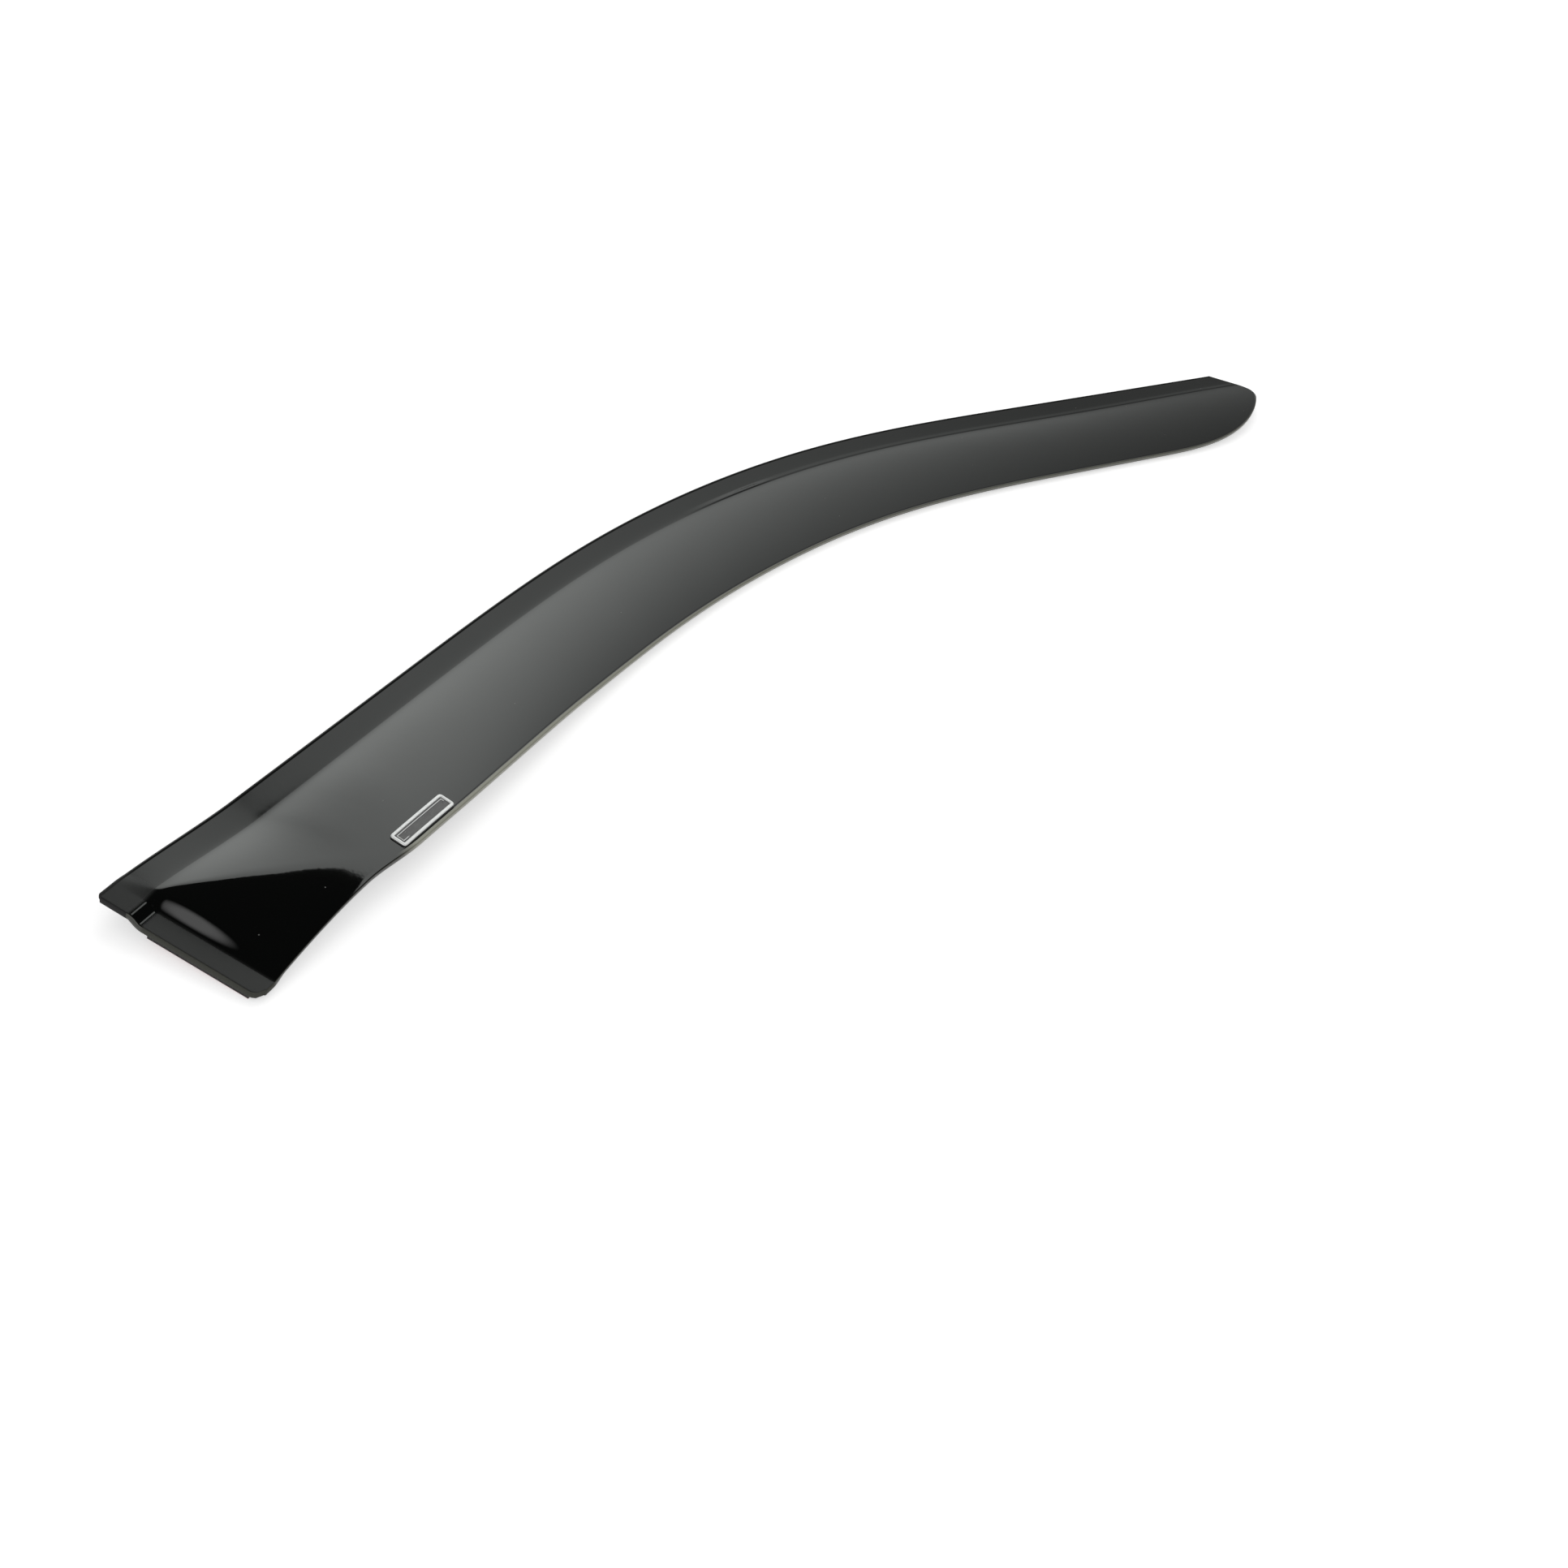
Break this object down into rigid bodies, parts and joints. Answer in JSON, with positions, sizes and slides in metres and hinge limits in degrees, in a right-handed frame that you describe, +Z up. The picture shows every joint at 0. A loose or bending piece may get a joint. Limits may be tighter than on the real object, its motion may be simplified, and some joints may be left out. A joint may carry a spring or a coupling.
{
  "type": "window rain deflector",
  "caption": "Long curved window rain deflector of dark tinted acrylic, with an arched blade, a stepped end, a swept tip, taped bonding flange and a small blank nameplate.",
  "frame": {"origin": "centre of the bounding box in plan, on the table that the part lies on", "axes": "+X from the stepped end to the swept tip, +Y towards the bonding flange, +Z up out of the outer face"},
  "size_m": [0.896, 0.1612, 0.0156],
  "materials": {
    "tinted_acrylic": "polished, very dark smoke tint",
    "foam_tape": "matte foam",
    "release_film": "satin film",
    "silver_plate": "satin, with a greyer sunk field"
  },
  "bodies": {
    "root": {"visor": "tinted_acrylic", "flange_tape": "foam_tape", "flange_film": "release_film", "end_tape": "foam_tape", "end_film": "release_film", "badge": "silver_plate"}
  },
  "joints": []
}
